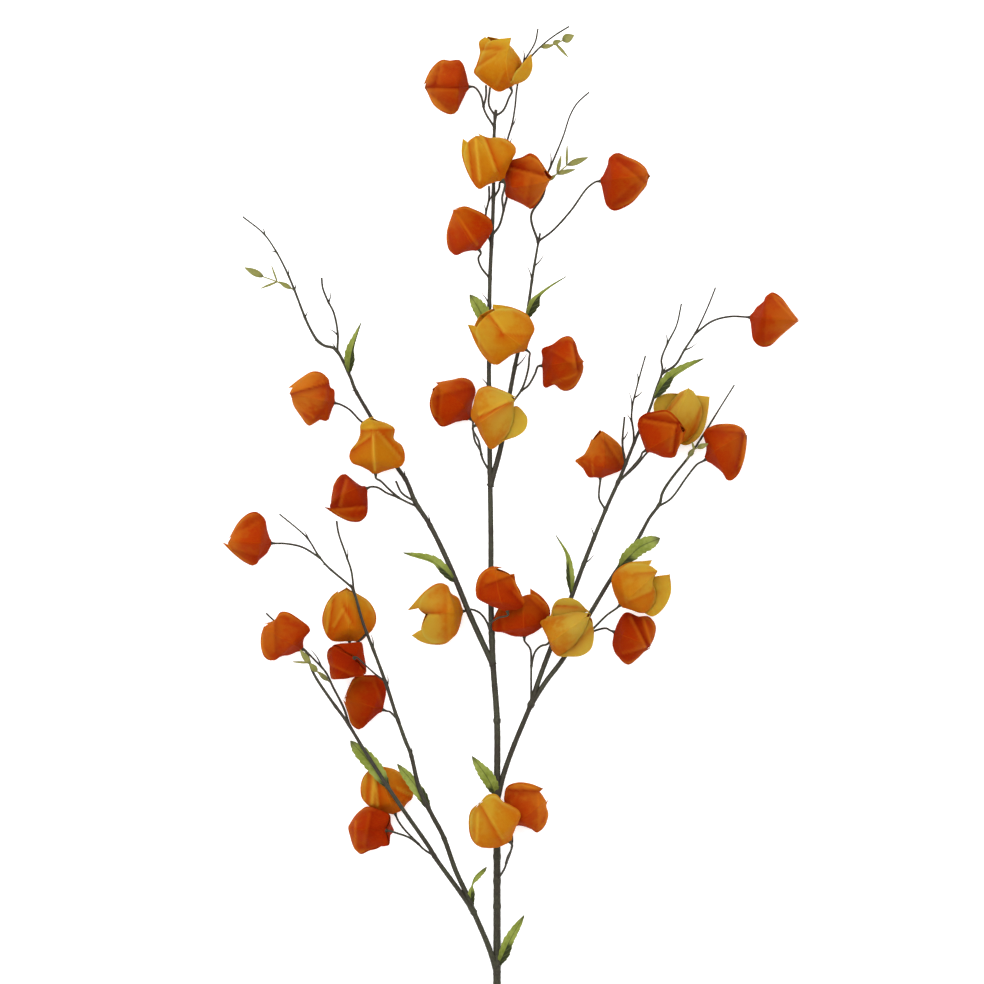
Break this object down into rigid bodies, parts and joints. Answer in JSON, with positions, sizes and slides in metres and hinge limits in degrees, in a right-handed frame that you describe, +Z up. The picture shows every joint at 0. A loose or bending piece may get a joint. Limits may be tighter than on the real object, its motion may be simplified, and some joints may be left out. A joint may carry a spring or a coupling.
{
  "type": "chinese lantern stem",
  "caption": "Tall artificial Chinese lantern spray with forked twigs, red-orange and amber fabric lanterns, toothed leaves and small sprigs, lying on its back.",
  "frame": {"origin": "on the table under the middle of the spray", "axes": "+Y up the stem from its cut foot to its top, +X to the spray's right, +Z up from the table"},
  "size_m": [0.5757, 0.9978, 0.0979],
  "materials": {
    "bark": "dark olive and brown plastic coating with faint grain",
    "red_fabric": "red-orange dyed woven fabric, paler at the petal edges",
    "amber_fabric": "amber dyed woven fabric, greener at the petal tips",
    "leaf_fabric": "green printed fabric with a darker underside",
    "sprig": "pale yellow-green moulded plastic"
  },
  "bodies": {
    "root": {"main_stem": "bark", "left_low_branch": "bark", "left_high_branch": "bark", "centre_branch": "bark", "right_branch": "bark", "lantern_01": "red_fabric", "lantern_02": "amber_fabric", "lantern_03": "amber_fabric", "lantern_04": "red_fabric", "lantern_05": "red_fabric", "lantern_06": "red_fabric", "lantern_07": "amber_fabric", "lantern_08": "red_fabric", "lantern_09": "red_fabric", "lantern_10": "amber_fabric", "lantern_11": "red_fabric", "lantern_12": "red_fabric", "lantern_13": "amber_fabric", "lantern_14": "red_fabric", "lantern_15": "red_fabric", "lantern_16": "red_fabric", "lantern_17": "red_fabric", "lantern_18": "amber_fabric", "lantern_19": "red_fabric", "lantern_20": "amber_fabric", "lantern_21": "red_fabric", "lantern_22": "red_fabric", "lantern_23": "amber_fabric", "lantern_24": "amber_fabric", "lantern_25": "red_fabric", "lantern_26": "red_fabric", "lantern_27": "amber_fabric", "lantern_28": "red_fabric", "lantern_29": "red_fabric", "lantern_30": "amber_fabric", "lantern_31": "red_fabric", "lantern_32": "amber_fabric", "lantern_33": "red_fabric", "leaf_01": "leaf_fabric", "leaf_02": "leaf_fabric", "leaf_03": "leaf_fabric", "leaf_04": "leaf_fabric", "leaf_05": "leaf_fabric", "leaf_06": "leaf_fabric", "leaf_07": "leaf_fabric", "leaf_08": "leaf_fabric", "leaf_09": "leaf_fabric", "leaf_10": "leaf_fabric", "leaf_11": "leaf_fabric", "leaf_12": "leaf_fabric", "sprig_01": "sprig", "sprig_02": "sprig", "sprig_03": "sprig", "sprig_04": "sprig", "sprig_05": "sprig"}
  },
  "joints": []
}
